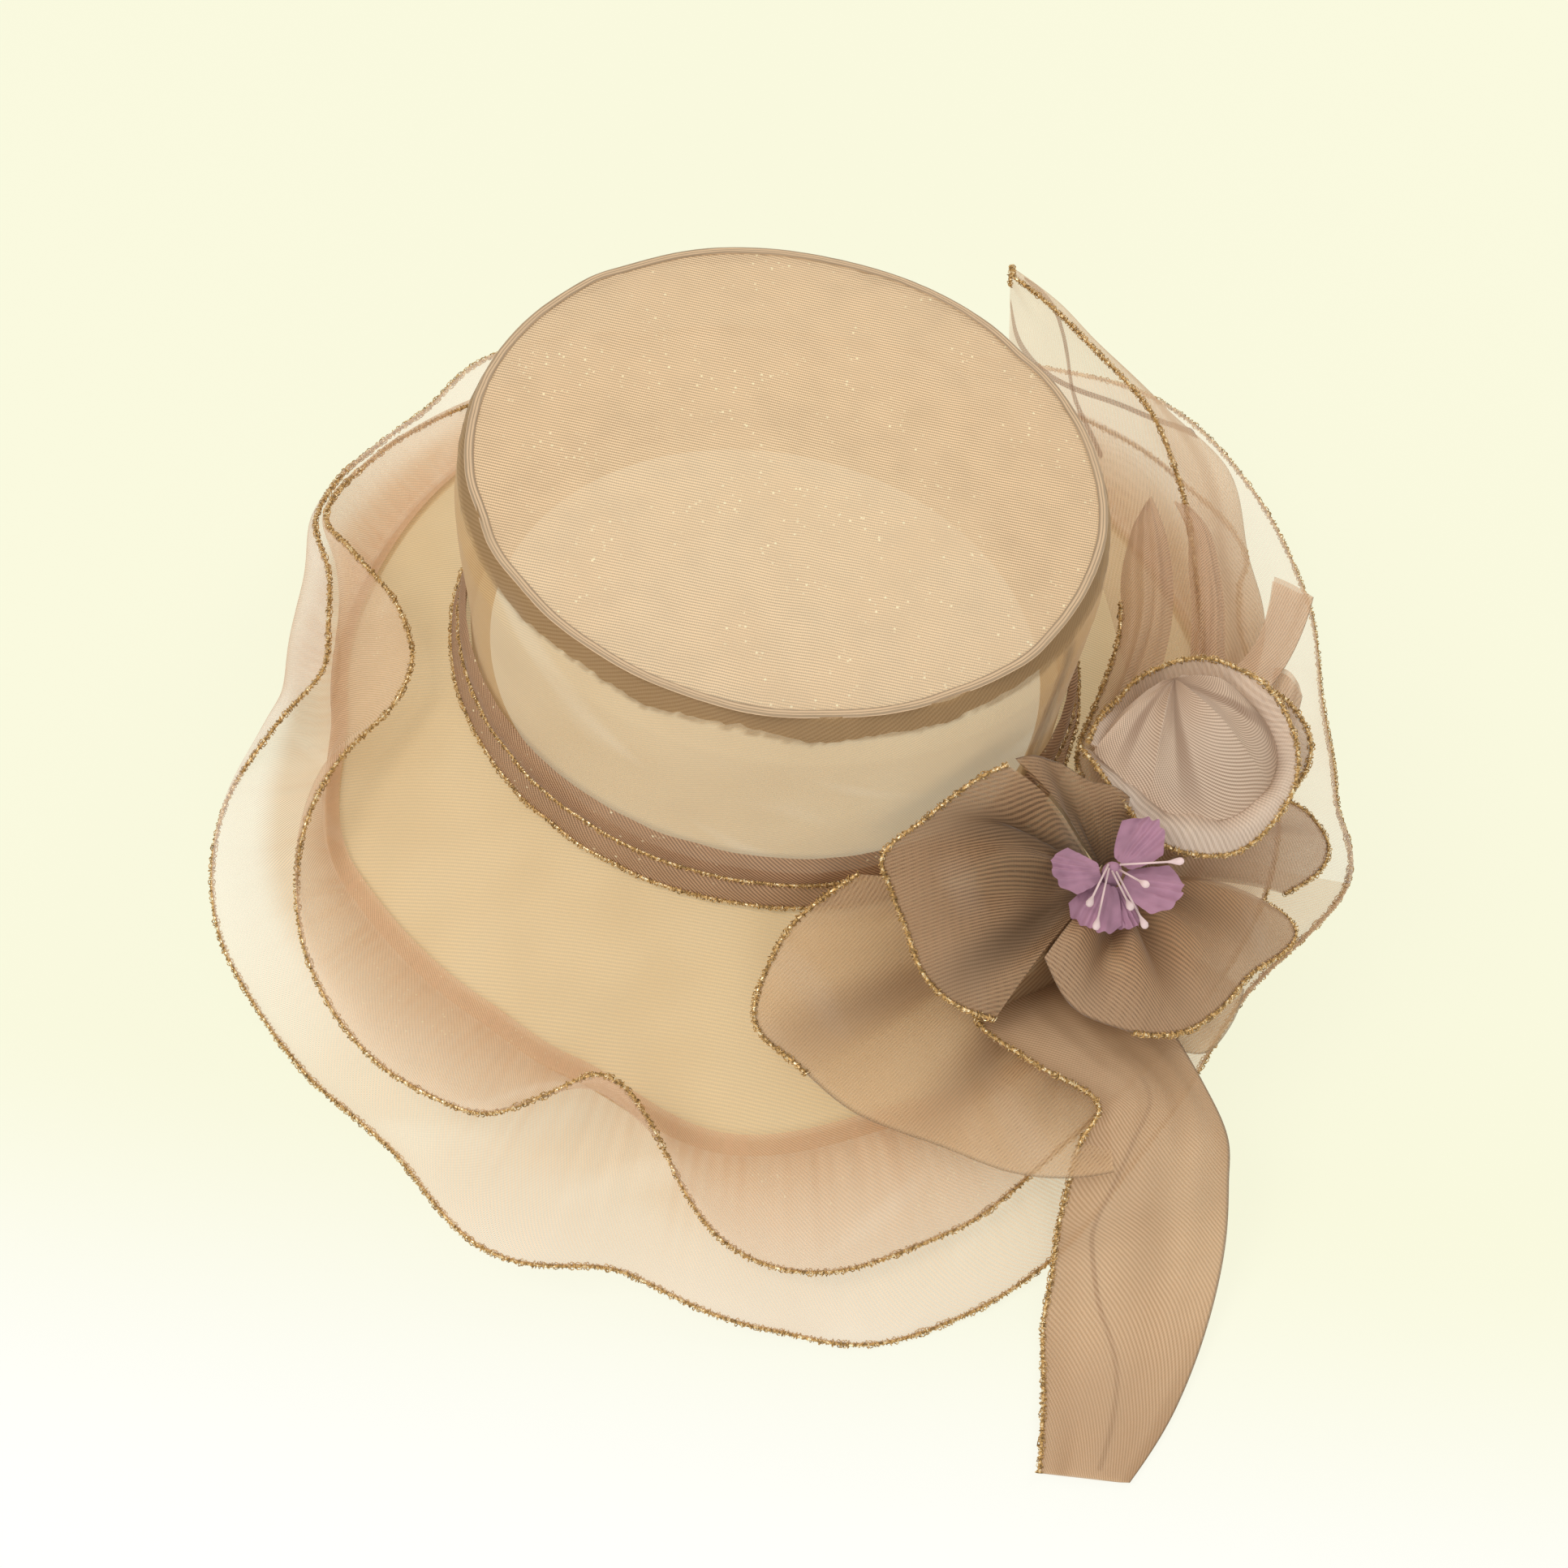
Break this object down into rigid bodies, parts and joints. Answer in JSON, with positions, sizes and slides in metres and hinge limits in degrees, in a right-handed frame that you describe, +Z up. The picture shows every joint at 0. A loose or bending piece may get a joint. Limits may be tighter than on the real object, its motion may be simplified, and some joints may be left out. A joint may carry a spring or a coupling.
{
  "type": "sun hat",
  "caption": "Sheer organza sun hat with a flat round crown, a stiff sloping brim, ruffles at its edge, a folded band, and a bow with a cloth rose at one side.",
  "frame": {"origin": "centre of the hat's box, on the ground it rests on", "axes": "+Z up through the crown, +X along the crown's long axis towards the rose, -Y towards the front, where the long tail falls"},
  "size_m": [0.3736, 0.4148, 0.1411],
  "materials": {
    "crown_organza": "sheer stiff organza, fine ribs with metallic threads",
    "brim_organza": "layered stiff organza",
    "seam_cloth": "gathered organza seam allowance",
    "ruffle_organza": "sheer organza with gold overlocked edges",
    "bow_organza": "doubled sheer organza with gold overlocked edges",
    "blossom_silk": "matt crinkled silk",
    "stamen_wax": "waxed thread with a hardened tip"
  },
  "bodies": {
    "root": {"crown_top": "crown_organza", "crown_side": "crown_organza", "crown_welt": "seam_cloth", "crown_seam_allowance": "seam_cloth", "crown_back_seam": "seam_cloth", "brim": "brim_organza", "ruffle_lower": "ruffle_organza", "ruffle_upper": "ruffle_organza", "band_lower": "bow_organza", "band_upper": "bow_organza", "flower_base": "bow_organza", "bow_tail_front": "bow_organza", "bow_loop_front": "bow_organza", "rose_petal_under": "bow_organza", "rose_petal_right": "bow_organza", "rose_petal_front": "bow_organza", "rose_petal_left": "bow_organza", "rose_petal_inner": "bow_organza", "rose_cup": "bow_organza", "rose_cup_back": "bow_organza", "bow_tail_back": "bow_organza", "bow_loop_inner": "bow_organza", "bow_loop_outer": "bow_organza", "bow_stub": "bow_organza", "bow_stub_rolled": "bow_organza", "blossom_petal_1": "blossom_silk", "blossom_petal_2": "blossom_silk", "blossom_petal_3": "blossom_silk", "blossom_petal_4": "blossom_silk", "blossom_petal_5": "blossom_silk", "blossom_heart": "blossom_silk", "stamen_1": "stamen_wax", "stamen_2": "stamen_wax", "stamen_3": "stamen_wax", "stamen_4": "stamen_wax", "stamen_5": "stamen_wax", "stamen_6": "stamen_wax"}
  },
  "joints": []
}
